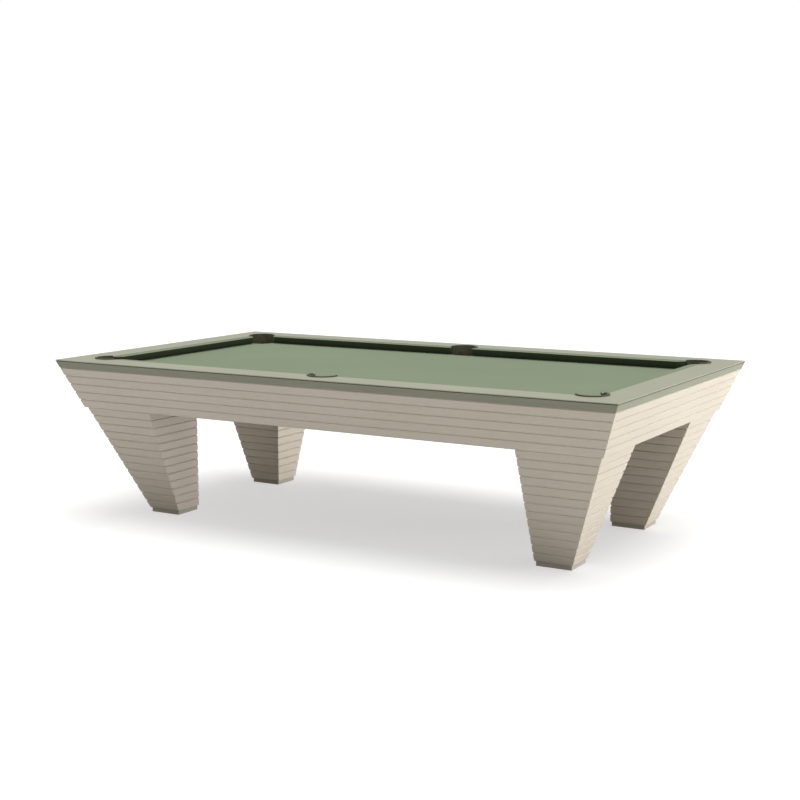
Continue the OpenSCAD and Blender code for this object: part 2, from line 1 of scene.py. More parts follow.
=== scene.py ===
# %% [markdown]
# # A slate-bed pool table with slatted sides
#
# The wood, slate and steel of the table come from a CAD model, which is the fixed frame here.
# What is soft on the real table, its cloth, cushions and leather pockets, is only a plain block in
# that model, so each of those is made again below as a surface worked out with numpy. The rest keeps
# its shape and gets the finish of the real material.

# %% Load the frame
import math

import bmesh
import bpy
import numpy as np
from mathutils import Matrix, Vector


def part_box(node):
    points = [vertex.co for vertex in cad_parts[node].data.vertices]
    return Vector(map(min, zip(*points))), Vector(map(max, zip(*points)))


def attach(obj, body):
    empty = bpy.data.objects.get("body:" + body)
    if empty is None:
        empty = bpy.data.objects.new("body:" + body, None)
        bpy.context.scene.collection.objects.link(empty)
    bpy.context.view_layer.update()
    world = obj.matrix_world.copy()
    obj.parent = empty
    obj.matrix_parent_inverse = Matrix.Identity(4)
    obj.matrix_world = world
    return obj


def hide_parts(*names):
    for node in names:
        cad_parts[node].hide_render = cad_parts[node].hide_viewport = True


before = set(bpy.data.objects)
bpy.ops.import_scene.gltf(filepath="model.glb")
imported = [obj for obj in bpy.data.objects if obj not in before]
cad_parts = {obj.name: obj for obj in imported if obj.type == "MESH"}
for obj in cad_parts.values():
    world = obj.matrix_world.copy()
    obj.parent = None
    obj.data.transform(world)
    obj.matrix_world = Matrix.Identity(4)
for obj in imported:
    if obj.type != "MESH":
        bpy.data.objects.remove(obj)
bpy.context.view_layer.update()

low = {name: np.array(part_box(name)[0]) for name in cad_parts}
high = {name: np.array(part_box(name)[1]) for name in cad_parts}

# %% [markdown]
# ## Camera
#
# A table is seen best from standing height, well back and with a longish lens, so that the long
# sides stay nearly parallel. The camera is placed by the way it looks: a turn round the table, a tilt
# down, and the point that it stands on.

# %% Camera
MM = 0.001
SENSOR = 36.0
LENS = 64.88
STANDS_AT = (3.501, -6.006, 1.5955)
TURN = math.radians(30.21)
TILT = math.radians(8.275)

lens_data = bpy.data.cameras.new("camera")
lens_data.sensor_width = SENSOR
lens_data.lens = LENS
lens_data.clip_end = 200
camera = bpy.data.objects.new("camera", lens_data)
camera.location = STANDS_AT
camera.rotation_euler = (math.pi / 2 - TILT, 0, TURN)
bpy.context.scene.collection.objects.link(camera)
bpy.context.scene.camera = camera
print("camera stands at", STANDS_AT)

# %% [markdown]
# ## Sizes taken from the frame
#
# The plain blocks of the CAD model say where every soft piece goes: the bed cloth's top is the playing
# surface, a cushion's inner side is its nose, and a basket's middle is the middle of its pocket. The
# few sizes that a box can't show, such as the inner radius of a pocket, are named here.

# %% Sizes
bed_z = high["bed_cloth"][2]
slate_x, slate_y = high["bed_cloth"][:2]
top_z = high["rail_right"][2]
half_l, half_w = high["rail_right"][0], high["rail_back"][1]
nose_x, wood_x = low["cushion_right"][0], high["cushion_right"][0]
nose_y, wood_y = low["cushion_back_right"][1], high["cushion_back_right"][1]
cushion_w = wood_y - nose_y
pocket_r = 60 * MM
liner_r = 65 * MM
lip_r = 72 * MM
lip_h = high["pocket_liner_back_right"][2] - top_z
liner_low = low["pocket_liner_back_right"][2]
fit = 0.3 * MM

SIDES = {"front_left": (-1, -1), "front_right": (1, -1), "back_left": (-1, 1), "back_right": (1, 1)}
basket_middle = {
    name[len("pocket_basket_"):]: ((low[name] + high[name]) / 2)[:2]
    for name in low if name.startswith("pocket_basket_")
}
corner_c = np.abs(basket_middle["back_right"])
side_c = abs(basket_middle["back_middle"][1])
print("bed", round(nose_x * 2, 3), "x", round(nose_y * 2, 3), "m; pockets at", corner_c, side_c)

# %% [markdown]
# ## Surfaces from grids
#
# Every new piece is one or more grids of points. A grid is a function of two parameters, worked out
# for all its points at once. Grids that share an edge are welded where their points coincide, so a
# closed form can be put together from a top, a face and two ends.


# %% Grid helpers
def together(*parts):
    """Stacks coordinates into points. A part that is a single number, or one row, is spread to fit."""
    return np.stack(np.broadcast_arrays(*parts), -1)


def weld(points, quads, within=1e-6):
    """Gives points that lie within a micrometre of each other one number, and says which each became."""
    cells = np.round(points / within).astype(np.int64)
    _, first, back = np.unique(cells, axis=0, return_index=True, return_inverse=True)
    return points[first], back.reshape(-1)[quads]


def quads_of(rows, columns, start):
    """Numbers of the corners of each quad between neighbours in a grid of rows x columns points."""
    i = np.arange(rows * columns).reshape(rows, columns) + start
    return np.stack([i[:-1, :-1], i[1:, :-1], i[1:, 1:], i[:-1, 1:]], -1).reshape(-1, 4)


def make_piece(name, grids, material, body="table", flats=None, sharp=40):
    """One object from grids of points (rows x columns x 3). flats gives each grid's place on the flat
    material (rows x columns x 2, metres), which becomes the UV map. Edges over sharp degrees stay
    sharp. A quad whose corners were welded together becomes a triangle, or nothing."""
    starts = np.cumsum([0] + [g.shape[0] * g.shape[1] for g in grids])
    raw = np.concatenate([g.reshape(-1, 3) for g in grids])
    quads = np.concatenate([quads_of(g.shape[0], g.shape[1], s) for g, s in zip(grids, starts)])
    points, welded = weld(raw, quads)
    faces, corners = [], []
    for face, original in zip(welded.tolist(), quads.tolist()):
        kept = {v: o for v, o in zip(face, original)}
        if len(kept) > 2:
            faces.append(list(kept))
            corners.extend(kept.values())
    mesh = bpy.data.meshes.new(name)
    mesh.from_pydata(points.tolist(), [], faces)
    if flats is not None:
        flat = np.concatenate([f.reshape(-1, 2) for f in flats])[corners]
        mesh.uv_layers.new(name="flat").data.foreach_set("uv", flat.astype(np.float32).ravel())
    work = bmesh.new()
    work.from_mesh(mesh)
    bmesh.ops.recalc_face_normals(work, faces=work.faces)
    work.to_mesh(mesh)
    work.free()
    mesh.shade_smooth()
    mesh.set_sharp_from_angle(angle=math.radians(sharp))
    mesh.materials.append(material)
    obj = bpy.data.objects.new(name, mesh)
    bpy.context.scene.collection.objects.link(obj)
    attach(obj, body)
    return obj


def rounded(corners, steps=5):
    """A closed outline from corners (x, y, radius): each corner becomes an arc that touches both of
    its sides, run through in equal steps of angle."""
    out = []
    for i, (x, y, r) in enumerate(corners):
        here = np.array([x, y])
        before = np.array(corners[i - 1][:2]) - here
        after = np.array(corners[(i + 1) % len(corners)][:2]) - here
        if r == 0:
            out.append(here[None])
            continue
        a, b = before / np.linalg.norm(before), after / np.linalg.norm(after)
        half = math.acos(np.clip(a @ b, -1, 1)) / 2
        middle = here + (a + b) / np.linalg.norm(a + b) * r / math.sin(half)
        start, end = here + a * r / math.tan(half) - middle, here + b * r / math.tan(half) - middle
        sweep = math.atan2(start[0] * end[1] - start[1] * end[0], start @ end)
        turn = np.linspace(0, sweep, steps + 1)[:, None]
        across = np.array([-start[1], start[0]])
        out.append(middle + start * np.cos(turn) + across * np.sin(turn))
    return np.concatenate(out)


# %% [markdown]
# ## Colours and nodes
#
# Paint makers give colours as they look on a screen, and the renderer mixes light in linear numbers,
# so one function turns the first into the second. Another adds a node: its own settings, and for each
# input either a value or the socket that feeds it. The rest are short names for the few kinds of node
# that every material here is made of.


# %% Colour and node helpers
def linear(code):
    """An sRGB colour such as "8a9a7c" as linear red, green, blue and alpha."""
    s = np.array([int(code[i:i + 2], 16) for i in (0, 2, 4)]) / 255
    rgb = np.where(s <= 0.04045, s / 12.92, ((s + 0.055) / 1.055) ** 2.4)
    return (float(rgb[0]), float(rgb[1]), float(rgb[2]), 1.0)


def add(tree, kind, inputs=None, **settings):
    """Adds a shader node. settings are its own properties; inputs are values or sockets."""
    node = tree.nodes.new("ShaderNode" + kind)
    for key, value in settings.items():
        setattr(node, key, value)
    for key, value in (inputs or {}).items():
        if isinstance(value, bpy.types.NodeSocket):
            tree.links.new(value, node.inputs[key])
        else:
            node.inputs[key].default_value = value
    return node


def new_material(name, **sockets):
    """A material with one Principled shader, whose own sockets hold what is the same all over."""
    material = bpy.data.materials.new(name)
    material.use_nodes = True
    tree = material.node_tree
    shader = tree.nodes["Principled BSDF"]
    for key, value in sockets.items():
        shader.inputs[key.replace("_", " ")].default_value = value
    return material, tree, shader


def calc(tree, operation, *values):
    """One step of arithmetic on values or sockets."""
    return add(tree, "Math", dict(enumerate(values)), operation=operation).outputs[0]


def noise(tree, place, scale, detail, **inputs):
    """Cloudy noise with so many patches to a metre."""
    return add(tree, "TexNoise", {"Vector": place, "Scale": scale, "Detail": detail, **inputs}).outputs["Fac"]


def remap(tree, value, start=0.0, end=1.0, to=(0.0, 1.0)):
    """Moves a value from the range start to end into the range to, and holds it there."""
    return add(tree, "MapRange", {"Value": value, "From Min": start, "From Max": end,
                                  "To Min": to[0], "To Max": to[1]}).outputs[0]


def average(tree, share, first, second):
    """Mixes two values: share 0 is the first, 1 the second."""
    return add(tree, "Mix", {"Factor": share, "A": first, "B": second}, data_type="FLOAT").outputs[0]


def blend(tree, share, first, second):
    """The same for two colours, each an sRGB code or a socket."""
    a, b = [linear(colour) if isinstance(colour, str) else colour for colour in (first, second)]
    return add(tree, "Mix", {"Factor": share, "A": a, "B": b}, data_type="RGBA").outputs["Result"]


def squeezed(tree, place, scale, **inputs):
    """Coordinates squeezed or stretched along each axis."""
    return add(tree, "Mapping", {"Vector": place, "Scale": scale, **inputs}).outputs[0]


def part(tree, place, axis):
    """One coordinate of a place."""
    return add(tree, "SeparateXYZ", {0: place}).outputs[axis]


def surface(tree, shader, colour, height, strength, depth):
    """Feeds a shader its colour, and a relief that is depth metres deep."""
    bump = add(tree, "Bump", {"Height": height, "Strength": strength, "Distance": depth})
    tree.links.new(colour, shader.inputs["Base Color"])
    tree.links.new(bump.outputs[0], shader.inputs["Normal"])


# %% [markdown]
# ## Lacquered wood
#
# The rails and slats are wood under a sprayed satin lacquer. Spray leaves a very fine orange peel, the
# grain below still shows as faint long streaks, and the colour drifts a little from board to board.
# Handling polishes the edges lighter. The shade of the shadow groove under a rail's top edge is
# painted into the lacquer as a dark band. The streaks run along each board, so they are noise squeezed
# to a few millimetres across the board and stretched along it.

# %% Sprayed lacquer
GRAIN = 6 * MM          # width of a streak; the pores of real wood are finer than can be seen
GRAIN_RUN = 260 * MM    # length of a streak
PEEL = 2.2 * MM         # width of an orange-peel dimple
PEEL_DEPTH = 0.15 * MM
# The shadow groove under a rail's top edge gets painted shade: a dark band of the width below.
GROOVE_DOWN = 6 * MM    # from the rail's top to the middle of its shadow groove
GROOVE_W = 3.2 * MM     # drawn wider than the 2 mm groove, so that its shadow line shows
RUBBED = (1.5 * MM, 5 * MM)     # least and greatest width of the rubbed strip
SLAT_START = 20 * MM    # height of the lowest slat's foot
SLAT_PITCH = 40 * MM


def lacquer(name, dark, light, run_along, roughness, edge=None, slats=False):
    """Satin lacquer between two close tones. run_along is "x" or "y", or "both" where a piece has
    boards both ways and each shows its grain on the side that it faces. edge gives the tone of a
    rail's rubbed edge and the painted shade of its groove."""
    material, tree, shader = new_material(name, Roughness=roughness, IOR=1.5)
    coordinates = add(tree, "TexCoord")
    place = coordinates.outputs["Object"]
    sizes = {"x": (GRAIN_RUN, GRAIN, GRAIN), "y": (GRAIN, GRAIN_RUN, GRAIN)}
    streaks = {}
    for key in ("x", "y") if run_along == "both" else (run_along,):
        stretched = squeezed(tree, place, tuple(1 / size for size in sizes[key]))
        streaks[key] = noise(tree, stretched, 1.0, 4.0, Roughness=0.6)
    if run_along == "both":
        facing = calc(tree, "ABSOLUTE", part(tree, coordinates.outputs["Normal"], "Y"))
        grain = average(tree, facing, streaks["y"], streaks["x"])
    else:
        grain = streaks[run_along]
    drift = noise(tree, place, 2.4, 3.0)
    level = remap(tree, average(tree, 0.45, grain, drift), 0.32, 0.68)
    if slats:
        level = board_tone(tree, place, level)
    colour = blend(tree, level, dark, light)
    if edge:
        colour = rubbed_edge_and_painted_groove_shade(tree, place, colour, *edge)
    peel = noise(tree, place, 1 / PEEL, 1.0)
    surface(tree, shader, colour, average(tree, 0.5, peel, grain), 0.35, PEEL_DEPTH)
    sheen = remap(tree, drift, to=(roughness - 0.05, roughness + 0.06))
    tree.links.new(sheen, shader.inputs["Roughness"])
    return material


def board_tone(tree, place, level):
    """Shifts the tone a little from slat to slat: each whole number of pitches up is one board."""
    up = calc(tree, "SUBTRACT", part(tree, place, "Z"), SLAT_START)
    board = calc(tree, "FLOOR", calc(tree, "DIVIDE", up, SLAT_PITCH))
    chance = add(tree, "TexWhiteNoise", {"W": board}, noise_dimensions="1D")
    return average(tree, 0.22, level, chance.outputs["Value"])


def rubbed_edge_and_painted_groove_shade(tree, place, colour, rubbed_tone, painted_groove_shade):
    """Lightens a strip along the outer top edge of the rails, where hands and cues rub it, and
    paints shade into the shadow groove below that edge as a dark band, since its own shade is too faint to
    show."""
    gaps = [calc(tree, "SUBTRACT", size, calc(tree, "ABSOLUTE", part(tree, place, axis)))
            for axis, size in (("X", half_l), ("Y", half_w))]
    near = calc(tree, "MINIMUM", *gaps)
    width = remap(tree, noise(tree, place, 14.0, 4.0), 0.4, 0.7, to=RUBBED)
    worn = remap(tree, near, 0.8 * MM, width, to=(0.55, 0.0))
    # painted shade: the band along the shadow groove is drawn dark
    groove = calc(tree, "COMPARE", part(tree, place, "Z"), top_z - GROOVE_DOWN, GROOVE_W / 2)
    return blend(tree, groove, blend(tree, worn, colour, rubbed_tone), painted_groove_shade)


# %% Lacquers of this table
SAGE = ("93947e", "9e9f88")
# The rubbed tone of the rails' top edge, then the painted shade of their groove.
SAGE_RUBBED_AND_GROOVE_SHADE = ("abac97", "4b4a3c")
IVORY = ("dcd1bf", "e5dbca")
WARM_GREY = ("beb5a6", "c8bfb1")
sage_long = lacquer("sage grey satin lacquer, long rails", *SAGE, "x", 0.36, edge=SAGE_RUBBED_AND_GROOVE_SHADE)
sage_end = lacquer("sage grey satin lacquer, end rails", *SAGE, "y", 0.36, edge=SAGE_RUBBED_AND_GROOVE_SHADE)
ivory_long = lacquer("ivory satin lacquer, long slats", *IVORY, "x", 0.42, slats=True)
ivory_end = lacquer("ivory satin lacquer, end slats", *IVORY, "y", 0.42, slats=True)
ivory_leg = lacquer("ivory satin lacquer, leg slats", *IVORY, "both", 0.42, slats=True)
grey_plinth = lacquer("warm grey satin lacquer, plinths", *WARM_GREY, "both", 0.4)
print("lacquers made")

# %% [markdown]
# ## Worsted cloth
#
# Pool cloth is a smooth worsted, a plain weave of combed wool. Its threads are about half a
# millimetre apart, too fine to show, so the weave is drawn coarser. It has no nap, a slightly heathered
# colour because the fibres take the dye unevenly, and the soft sheen of wool at a low angle. On a
# cushion it is as light as the bed on top. Below the nose it is drawn much darker: that is deep shade
# painted into the tone, and not another dye.

# %% Worsted cloth
THREAD = 1.6 * MM       # real threads are 0.5 mm apart; drawn three times as coarse, so that they show
FIBRE = 0.8 * MM
HEATHER = 9 * MM
WEAVE_DEPTH = 0.2 * MM
NOSE_UP = 36 * MM       # height of a cushion's nose over the bed
# The second pair of tones is painted shade for the cloth under a cushion's nose, not another dye.
MOSS, NOSE_SHADE_TONES = ("707d61", "7c896d"), ("3d4734", "49533e")


def above(tree, start, end):
    """0 below the height start, 1 above the height end, and a steady rise between them."""
    return remap(tree, part(tree, add(tree, "TexCoord").outputs["Object"], "Z"), start, end)


def worsted(name, dark, light, below=None):
    """Plain weave: two sine waves of threads, one each way, raise the cloth where they cross over. below
    gives the two darker tones of the shade painted on the cloth under the nose of a cushion."""
    material, tree, shader = new_material(name, Roughness=0.92, IOR=1.46, Sheen_Weight=0.18,
                                          Sheen_Roughness=0.5, Specular_IOR_Level=0.25)
    flat = add(tree, "UVMap", uv_map="flat").outputs[0]
    waves = [calc(tree, "SINE", calc(tree, "MULTIPLY", part(tree, flat, axis), 2 * math.pi / THREAD))
             for axis in ("X", "Y")]
    fibres = noise(tree, flat, 1 / FIBRE, 3.0)
    heather = noise(tree, flat, 1 / HEATHER, 6.0, Roughness=0.7)
    tone = remap(tree, average(tree, 0.35, heather, noise(tree, flat, 1.3, 2.0)), 0.33, 0.67)
    colour = blend(tree, tone, dark, light)
    # painted shade: the cloth below the nose is drawn darker
    if below:
        over = above(tree, bed_z + NOSE_UP - 1 * MM, bed_z + NOSE_UP + 2 * MM)
        colour = blend(tree, over, blend(tree, tone, *below), colour)
    weave = calc(tree, "MULTIPLY_ADD", calc(tree, "MULTIPLY", *waves), 0.5, fibres)
    surface(tree, shader, colour, weave, 0.5, WEAVE_DEPTH)
    return material


cloth = worsted("moss green worsted wool", *MOSS)
# The cushions' cloth carries painted shade below the nose.
cushion_cloth = worsted("moss green worsted wool, painted shade below the nose", *MOSS, below=NOSE_SHADE_TONES)
print("cloth made, threads", round(THREAD / MM, 1), "mm apart")

# %% [markdown]
# ## Leather
#
# Each pocket is lined and caught in vegetable-tanned cowhide, the lining dyed olive and waxed, the
# basket left dark brown. Its grain is a net of small cells with creases between them, which crossed
# with uneven dye gives the eye leather rather than plastic. The lips are drawn darker than the walls:
# that is painted shade, and not another dye.

# %% Waxed leather
CELL = 1.6 * MM
CREASE_DEPTH = 0.25 * MM
BEND = 6 * MM           # how far apart the cells bend out of line
DYE = 22 * MM           # size of a patch of dye


def cowhide(name, dark, light, roughness, lip=None):
    """Cells with creases between them, and a tone that drifts. lip gives the two darker tones that are
    painted on above the rail, as painted shade on the lip."""
    material, tree, shader = new_material(name, Roughness=roughness, IOR=1.5, Coat_Weight=0.15,
                                          Coat_Roughness=0.35)
    place = add(tree, "TexCoord").outputs["Object"]
    bend = add(tree, "TexNoise", {"Vector": place, "Scale": 1 / BEND, "Detail": 2.0})
    shifted = add(tree, "VectorMath", {0: bend.outputs["Color"], 1: (CELL, CELL, CELL)},
                  operation="MULTIPLY")
    moved = add(tree, "VectorMath", {0: place, 1: shifted.outputs[0]}, operation="ADD")
    cells = add(tree, "TexVoronoi", {"Vector": moved.outputs[0], "Scale": 1 / CELL},
                feature="DISTANCE_TO_EDGE")
    tone = remap(tree, noise(tree, place, 1 / DYE, 5.0), 0.3, 0.7)
    colour = blend(tree, tone, dark, light)
    # painted shade: the lip is drawn darker than the wall
    if lip:
        over = above(tree, top_z - 2 * MM, top_z + 1 * MM)
        colour = blend(tree, over, colour, blend(tree, tone, *lip))
    surface(tree, shader, colour, remap(tree, cells.outputs["Distance"], 0.0, 0.22), 0.4, CREASE_DEPTH)
    return material


# The lip's tones are painted shade, darker than the wall's, and not another dye.
liner_hide = cowhide("dark olive waxed cowhide", "54543f", "68684f", 0.5, lip=("33351f", "404228"))
basket_hide = cowhide("dark brown cowhide, flesh side out", "40362c", "554839", 0.7)

# %% Linen thread
TWIST = 3 * MM


def linen_thread(name):
    """Waxed linen thread: twisted, so fine slanting lines of a lighter tone run round it."""
    material, tree, shader = new_material(name, Roughness=0.6, IOR=1.5)
    place = add(tree, "TexCoord").outputs["Object"]
    twist = add(tree, "TexWave", {"Vector": place, "Scale": 1 / TWIST, "Distortion": 2.0},
                bands_direction="DIAGONAL")
    tree.links.new(blend(tree, twist.outputs["Fac"], "45453a", "5a584a"), shader.inputs["Base Color"])
    return material


thread = linen_thread("waxed linen thread")
print("leathers and thread made")

# %% [markdown]
# ## The bed cloth
#
# One piece of cloth is stretched over the three slates and turned down over their edges and into the
# pockets. It could be a flat plane with holes cut in it, but the turned edge in each pocket is what the
# eye looks for. So the outline of the cloth is worked out first, as one closed path round the bed and
# its pockets, and the surface is a profile carried along it: down the slate's edge, round the bend,
# and in to a spine along the middle of the table.


# %% Outline of the bed cloth
def arc(centre, radius, start, end, steps):
    """Points on a circle, from one angle to another in degrees."""
    a = np.radians(np.linspace(start, end, steps))
    return np.stack([centre[0] + radius * np.cos(a), centre[1] + radius * np.sin(a)], 1)


LINER_HOLE = liner_r + 0.5 * MM
SHELF = 2 * MM                  # how far the bed goes on behind the noses at a side pocket
SIDE_NECK = 6 * MM              # where the notch of a side pocket starts to open, before its middle
SIDE_FLARE = 12 * MM            # how much wider it is at the slate's edge
NOTCH = liner_r - 5 * MM        # how far the cloth is cut open on the outer side of a corner pocket
CORNER_NECK = 36 * MM           # where that cut leaves the pocket, past its middle
CORNER_LEAN = math.cos(math.radians(25))
side_drop = side_c - nose_y - SHELF
open_half = math.degrees(math.acos(side_drop / pocket_r))


def bed_quarter():
    """The outline from the middle of the long side to the middle of the end, in the back right
    quarter: side pocket, slate's edge, corner pocket, slate's edge. Each arc goes on under the ends
    of its liner."""
    shelf = [[0, nose_y + SHELF]]
    side_open = arc((0, side_c), pocket_r, -90 + open_half, -10, 14)
    side_notch = [[LINER_HOLE, side_c - SIDE_NECK], [LINER_HOLE + SIDE_FLARE, slate_y]]
    corner_notch = [[corner_c[0] - NOTCH, slate_y],
                    [corner_c[0] - NOTCH * CORNER_LEAN, corner_c[1] + CORNER_NECK]]
    corner_open = arc(corner_c, pocket_r, 150, 300, 28)
    corner_out = [[corner_c[0] + CORNER_NECK, corner_c[1] - NOTCH * CORNER_LEAN],
                  [slate_x, corner_c[1] - NOTCH], [slate_x, 0]]
    return np.concatenate([shelf, side_open, side_notch, corner_notch, corner_open, corner_out])


def spaced(path, step):
    """The path again, with extra points on its long straight stretches so that none is over step."""
    gaps = np.linalg.norm(np.diff(path, axis=0), axis=1)
    counts = np.maximum(1, np.ceil(gaps / step)).astype(int)
    along = np.concatenate([i + np.arange(n) / n for i, n in enumerate(counts)] + [[len(path) - 1]])
    return np.stack([np.interp(along, np.arange(len(path)), path[:, k]) for k in range(2)], 1)


quarter = spaced(bed_quarter(), 40 * MM)
half = np.concatenate([quarter, (quarter * [1, -1])[-2::-1]])
outline = np.concatenate([half, (half * [-1, 1])[-2:0:-1]])
outline = np.concatenate([outline, outline[:1]])
print("outline of the bed cloth:", len(outline), "points")


# %% Bed cloth
SPINE = 620 * MM        # half the length of the line that the rows of the surface run in to


def bed_cloth_grid(path):
    """Rows of points, one row for each step of the profile: (outwards, height) near the edge, then
    shares of the way in from the path to the spine, which is the path's own x held within the
    spine's length. The path runs clockwise, so that outwards is to its left. The flat place of a
    point is its place on the bed, unrolled past the edge."""
    step = np.roll(path[:-1], -1, 0) - np.roll(path[:-1], 1, 0)
    out = np.stack([-step[:, 1], step[:, 0]], 1) / np.linalg.norm(step, axis=1)[:, None]
    out = np.concatenate([out, out[:1]])
    bend = [(-0.1, -28.0), (-0.1, -14.0), (-0.1, -2.0), (-0.25, -1.0), (-0.7, -0.35), (-1.6, -0.05),
            (-3.0, 0.0)]
    rows, flats = [], []
    for outwards, drop in bend:
        at = path + out * (outwards * MM)
        rows.append(np.column_stack([at, np.full(len(path), bed_z + drop * MM)]))
        flats.append(path + out * (abs(drop) * MM + outwards * MM))
    spine = np.stack([np.clip(path[:, 0], -SPINE, SPINE), np.zeros(len(path))], 1)
    start = path + out * (bend[-1][0] * MM)
    for share in np.concatenate([[0.01, 0.03], np.linspace(0.07, 1, 15)]):
        at = start + (spine - start) * share
        rows.append(np.column_stack([at, np.full(len(path), bed_z)]))
        flats.append(at)
    return np.array(rows), np.array(flats)


grid, flat = bed_cloth_grid(outline)
bed = make_piece("bed_cloth_stretched", [grid], cloth, flats=[flat])
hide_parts("bed_cloth")
print("bed cloth:", len(bed.data.polygons), "faces")

# %% [markdown]
# ## The cushions
#
# A cushion is a strip of gum rubber glued to the rail, with a nose that overhangs the bed, and the same
# cloth pulled tight round it. The cloth is held at the back by a feather strip pressed into a groove
# in the wood, which leaves a fine dip between cloth and lacquer. The cushion is made as two sheets
# that meet at the nose, a top and a face, each a profile carried along the rail. The ends follow the
# pocket: they slant at the facing angle and stop at the leather liner.

# %% Section of a cushion
NOSE_R = 2.6 * MM
FOOT = 25 * MM          # how far the foot lies back from the nose
DROP = 1 * MM           # step from the lacquer down to the cloth
DIP = 1.4 * MM          # depth of the dip over the feather strip
DIP_W = 1.6 * MM


def cushion_section(count=26):
    """The section as distances from the wood, and the heights above the bed of its top and its face.
    The top falls gently to the nose, the nose is a quarter round each way, and the face slopes back
    to the foot, behind which the underside is flat."""
    reach = cushion_w * (1 - (1 - np.linspace(0, 1, count)) ** 1.7)
    reach = np.sort(np.concatenate([reach, [0.8 * MM, 1.6 * MM, 2.6 * MM, 4 * MM, cushion_w - FOOT]]))
    back = np.clip((reach - (cushion_w - NOSE_R)) / NOSE_R, 0, 1)
    round_off = NOSE_R * (1 - np.sqrt(1 - back ** 2))
    rail_height = top_z - bed_z
    top = rail_height - DROP - (reach / cushion_w) * (rail_height - DROP - NOSE_UP - NOSE_R)
    top = top - DIP * np.exp(-(reach / DIP_W) ** 2) - round_off
    slope = (NOSE_UP - NOSE_R) / (FOOT - NOSE_R)
    face = np.clip((reach - (cushion_w - FOOT)) * slope, 0, None) + round_off * 0.9
    face = np.minimum(face, top)
    face[-1] = top[-1] = NOSE_UP
    return reach, top, face


reach, top_line, face_line = cushion_section()
print("cushion section:", len(reach), "steps from the wood to the nose")

# %% Ends of a cushion
CORNER_MOUTH = 125 * MM
SIDE_MOUTH = 130 * MM
CORNER_FACING = math.radians(7)
SIDE_FACING = math.radians(14)
CLEAR = liner_r + fit


def stop_at_liner(along, across, centre, side):
    """Holds an end back where it would run into a liner: side is 1 where the pocket lies ahead."""
    gap = np.sqrt(np.maximum(0, CLEAR ** 2 - (across - centre[1]) ** 2))
    stop = centre[0] - side * gap
    inside = np.abs(across - centre[1]) < CLEAR
    held = np.minimum(along, stop) if side > 0 else np.maximum(along, stop)
    return np.where(inside, held, along)


def long_ends(reach):
    """Where the back right cushion starts and ends along x, at each distance from the wood."""
    slant = cushion_w - reach
    first = SIDE_MOUTH / 2 - slant * math.tan(SIDE_FACING)
    last = nose_x - CORNER_MOUTH / math.sqrt(2) + slant / math.tan(math.pi / 4 - CORNER_FACING)
    across = wood_y - reach
    first = stop_at_liner(first, across, (0, side_c), -1)
    return first, stop_at_liner(last, across, corner_c, 1)


def end_ends(reach):
    """The same for the right cushion along y, which is the same at both ends."""
    last = nose_y - CORNER_MOUTH / math.sqrt(2) + (cushion_w - reach) / math.tan(
        math.pi / 4 - CORNER_FACING)
    last = stop_at_liner(last, wood_x - reach, corner_c[::-1], 1)
    return -last, last


print("long cushion from", np.round(long_ends(reach)[0][-1], 4), "to", np.round(long_ends(reach)[1][-1], 4))

# %% Cushions in their cloth
STEP = 30 * MM


def cushion_grids(ends, place):
    """Five grids: top, face, two ends and the back against the wood. place turns (along, distance
    from the wood, height) into x, y, z. The flat place of a point is its distance along the rail
    and round the section."""
    first, last = ends
    count = int(np.ceil((last[-1] - first[-1]) / STEP)) + 1
    along = first + (last - first) * np.linspace(0, 1, count)[:, None]
    over, under = [np.append(0, np.cumsum(np.hypot(np.diff(reach), np.diff(line))))
                   for line in (top_line, face_line)]
    grids = [place(along, reach, top_line), place(along, reach, face_line)]
    flats = [together(along, over), together(along, over[-1] + under[-1] - under)]
    height = face_line + (top_line - face_line) * np.linspace(0, 1, 7)[:, None]
    for end in (first, last):
        grids.append(place(end, reach, height))
        flats.append(together(end[-1] + reach, height))
    grids.append(place(along[:, :1], 0, height[:, 0]))
    flats.append(together(along[:, :1], height[:, 0]))
    return grids, flats


def long_place(sx, sy):
    """Puts a point of a long cushion into the quarter with signs sx and sy."""
    return lambda along, away, up: together(sx * along, sy * (wood_y - away), bed_z + up)


def end_place(sx):
    """Puts a point of an end cushion at the end with sign sx."""
    return lambda along, away, up: together(sx * (wood_x - away), along, bed_z + up)


def dress(name, grids, flats):
    """A cushion in its cloth, with softly turned edges at its facings."""
    node = "cushion_" + name
    obj = make_piece("cushion_in_cloth_" + name, grids, cushion_cloth, flats=flats, sharp=35)
    edge = obj.modifiers.new("turned cloth", "BEVEL")
    edge.width = 1.1 * MM
    edge.segments = 3
    edge.angle_limit = math.radians(50)
    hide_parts(node)
    return obj


for name, (sx, sy) in SIDES.items():
    dress(name, *cushion_grids(long_ends(reach), long_place(sx, sy)))
for name, sx in (("left", -1), ("right", 1)):
    dress(name, *cushion_grids(end_ends(reach), end_place(sx)))
print("six cushions dressed")

# %% [markdown]
# ## The pocket liners
#
# A liner is a stiff shell bent into a C, covered in leather, with a padded lip that rests on the rail.
# It is a rounded section carried round part of a circle. Both ends lie in one plane across the pocket,
# so each ring of the section stops at its own angle, and the last few millimetres shrink towards the
# middle of the wall, as leather does where it is folded in and glued.

# %% Section of a liner
LIP_ROUND = 2.2 * MM


def liner_section():
    """The closed outline of the wall and its lip, as (radius, height), with every corner rounded."""
    return rounded([
        (liner_r, liner_low, 1.5 * MM), (liner_r, top_z + 0.2 * MM, 0.3 * MM),
        (lip_r, top_z + 0.2 * MM, 1.2 * MM), (lip_r, top_z + lip_h - 0.4 * MM, LIP_ROUND),
        (liner_r, top_z + lip_h + 0.2 * MM, 9 * MM),
        (pocket_r, top_z + lip_h - 0.6 * MM, LIP_ROUND), (pocket_r, bed_z, 0.0),
        (pocket_r, liner_low, 1.5 * MM)])


